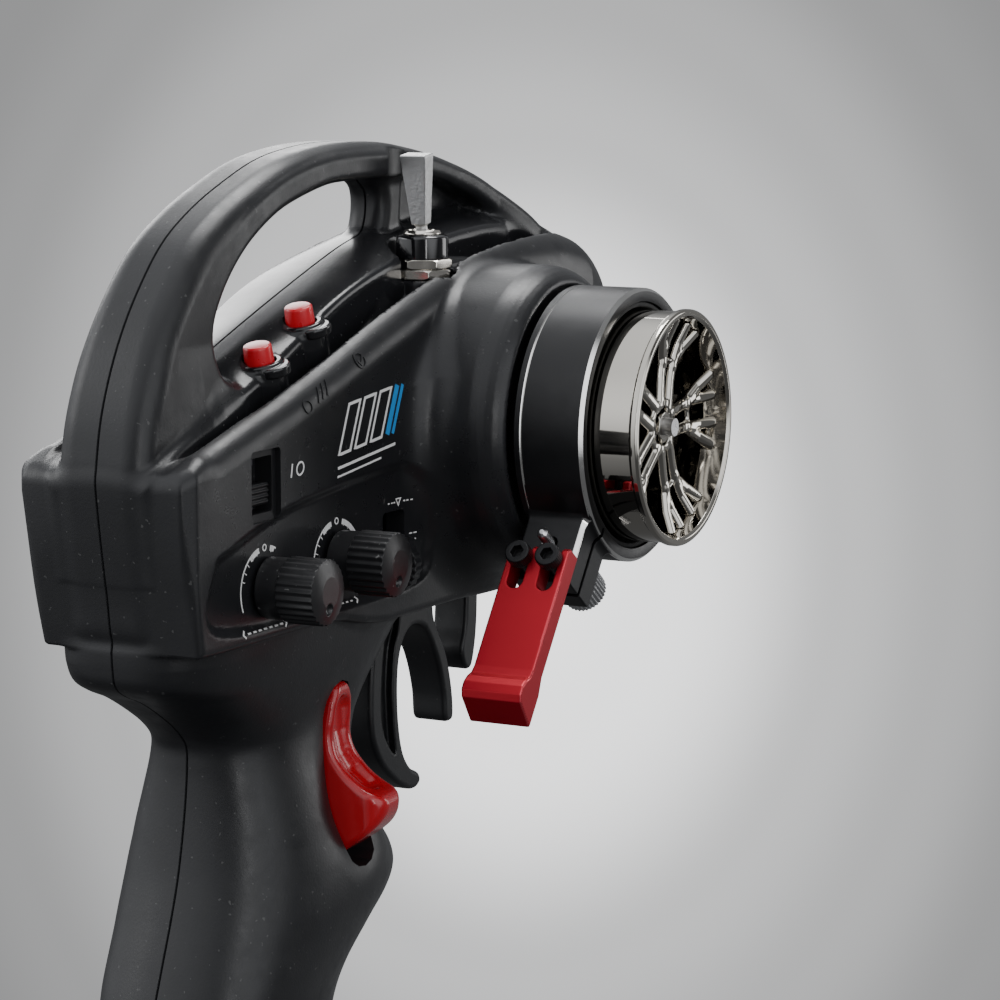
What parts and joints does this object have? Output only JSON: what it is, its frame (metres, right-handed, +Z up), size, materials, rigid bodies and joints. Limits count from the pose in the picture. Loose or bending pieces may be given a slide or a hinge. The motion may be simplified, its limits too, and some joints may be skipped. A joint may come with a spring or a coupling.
{
  "type": "radio transmitter controller",
  "caption": "Pistol-grip radio controller with an arched carry handle, side steering wheel with clamp-on lever, finger trigger, grip rocker, toggle, push buttons and trim knobs.",
  "frame": {"origin": "centre of the base's flat underside", "axes": "+X towards the steering wheel side, +Y forwards (away from the user), +Z up; the two housing halves meet on X = 0"},
  "size_m": [0.111, 0.183, 0.2342],
  "materials": {
    "shell_black": "fine-grained satin black moulding",
    "gloss_red": "gloss red moulding",
    "black_plastic": "satin black",
    "pad_rubber": "soft black rubber",
    "foam_rubber": "black rubber band",
    "ring_black": "matte black anodised with bright cut edges",
    "lever_red": "red anodised",
    "rim_chrome": "smoked black chrome",
    "nickel": "nickel plated",
    "steel": "ground steel",
    "toggle_grey": "raw brushed metal",
    "black_steel": "black oxide",
    "gloss_black": "gloss black moulding",
    "pcb_green": "circuit board",
    "tin": "tinned can",
    "brass_wire": "brass",
    "bronze": "sintered bronze",
    "led_green": "clear green",
    "grey_body": "moulded switch body",
    "pot_blue": "moulded sensor body",
    "cell_wrap": "shrink wrap"
  },
  "bodies": {
    "housing": {"housing_right": "shell_black", "housing_left": "shell_black", "housing_screws": "black_steel", "base_shell": "shell_black", "base_plate": "shell_black", "battery_cells": "cell_wrap", "battery_springs": "nickel", "base_pads": "pad_rubber", "main_pcb": "pcb_green", "radio_module": "tin", "antenna": "brass_wire", "status_led": "led_green", "power_switch": "grey_body", "button_collars": "gloss_black", "tact_switches": "grey_body", "toggle_body": "grey_body", "toggle_bushing": "nickel", "toggle_nuts": "nickel", "toggle_sleeve": "gloss_black", "trim_pot": "grey_body", "function_pot": "grey_body", "neutral_switch": "grey_body", "trigger_shaft": "steel", "trigger_spring": "steel", "throttle_pot": "pot_blue", "finger_guard": "black_plastic", "rocker_pin": "steel", "rocker_switch": "grey_body", "steering_bush": "bronze", "steering_pot": "pot_blue", "steering_spring": "steel"},
    "steering": {"steering_shaft": "steel", "wheel_hub": "black_steel", "wheel_nut": "nickel", "rim": "rim_chrome", "grip_ring": "foam_rubber", "clamp_ring": "ring_black", "steer_lever": "lever_red", "lever_screws": "black_steel"},
    "thumb": {"thumb_screw": "nickel"},
    "trigger_body": {"trigger": "black_plastic"},
    "rocker_body": {"rocker": "gloss_red"},
    "toggle": {"toggle_lever": "toggle_grey"},
    "menu": {"menu_button": "gloss_red"},
    "set": {"set_button": "gloss_red"},
    "power": {"power_slider": "black_plastic"},
    "neutral": {"neutral_slider": "black_plastic"},
    "trim": {"trim_knob": "black_plastic"},
    "function": {"function_knob": "black_plastic"},
    "door": {"battery_door": "shell_black"}
  },
  "joints": [
    {"name": "steering_turn", "type": "hinge", "parent": "housing", "child": "steering", "pos_m": [0, 0.072, 0.172], "axis": [1, 0, 0], "range_deg": [-38, 38], "stiffness_Nm_per_rad": 0.08},
    {"name": "thumb_screw_turn", "type": "hinge", "parent": "steering", "child": "thumb", "pos_m": [0.053, 0.05064, 0.14365], "axis": [0, 0.7986, -0.6018], "continuous": true},
    {"name": "trigger_pull", "type": "hinge", "parent": "housing", "child": "trigger_body", "pos_m": [0, 0.074, 0.146], "axis": [-1, 0, 0], "range_deg": [-8, 16], "stiffness_Nm_per_rad": 0.06},
    {"name": "rocker_press", "type": "hinge", "parent": "housing", "child": "rocker_body", "pos_m": [0.00948, 0.01466, 0.116], "axis": [-0.0698, 0.9976, 0], "range_deg": [0, 6], "stiffness_Nm_per_rad": 0.03, "springref_deg": -171.89},
    {"name": "toggle_flip", "type": "hinge", "parent": "housing", "child": "toggle", "pos_m": [0.0145, 0.057, 0.2124], "axis": [-1, 0, 0], "range_deg": [0, 16]},
    {"name": "menu_press", "type": "slide", "parent": "housing", "child": "menu", "axis": [0, 0.2588, -0.9659], "range_m": [0, 0.0012], "stiffness_N_per_m": 900, "springref_m": -0.0004},
    {"name": "set_press", "type": "slide", "parent": "housing", "child": "set", "axis": [0, 0.2588, -0.9659], "range_m": [0, 0.0012], "stiffness_N_per_m": 900, "springref_m": -0.0004},
    {"name": "power_slide", "type": "slide", "parent": "housing", "child": "power", "axis": [0, 0, 1], "range_m": [0, 0.005]},
    {"name": "neutral_slide", "type": "slide", "parent": "housing", "child": "neutral", "axis": [0, 0, 1], "range_m": [0, 0.0055]},
    {"name": "trim_turn", "type": "hinge", "parent": "housing", "child": "trim", "pos_m": [0.028, -0.0205, 0.1471], "axis": [1, 0, 0], "range_deg": [-135, 135]},
    {"name": "function_turn", "type": "hinge", "parent": "housing", "child": "function", "pos_m": [0.03, 0.0056, 0.1489], "axis": [1, 0, 0], "range_deg": [-135, 135]},
    {"name": "battery_door_drop", "type": "slide", "parent": "housing", "child": "door", "axis": [0, 0, -1], "range_m": [0, 0.02]}
  ]
}
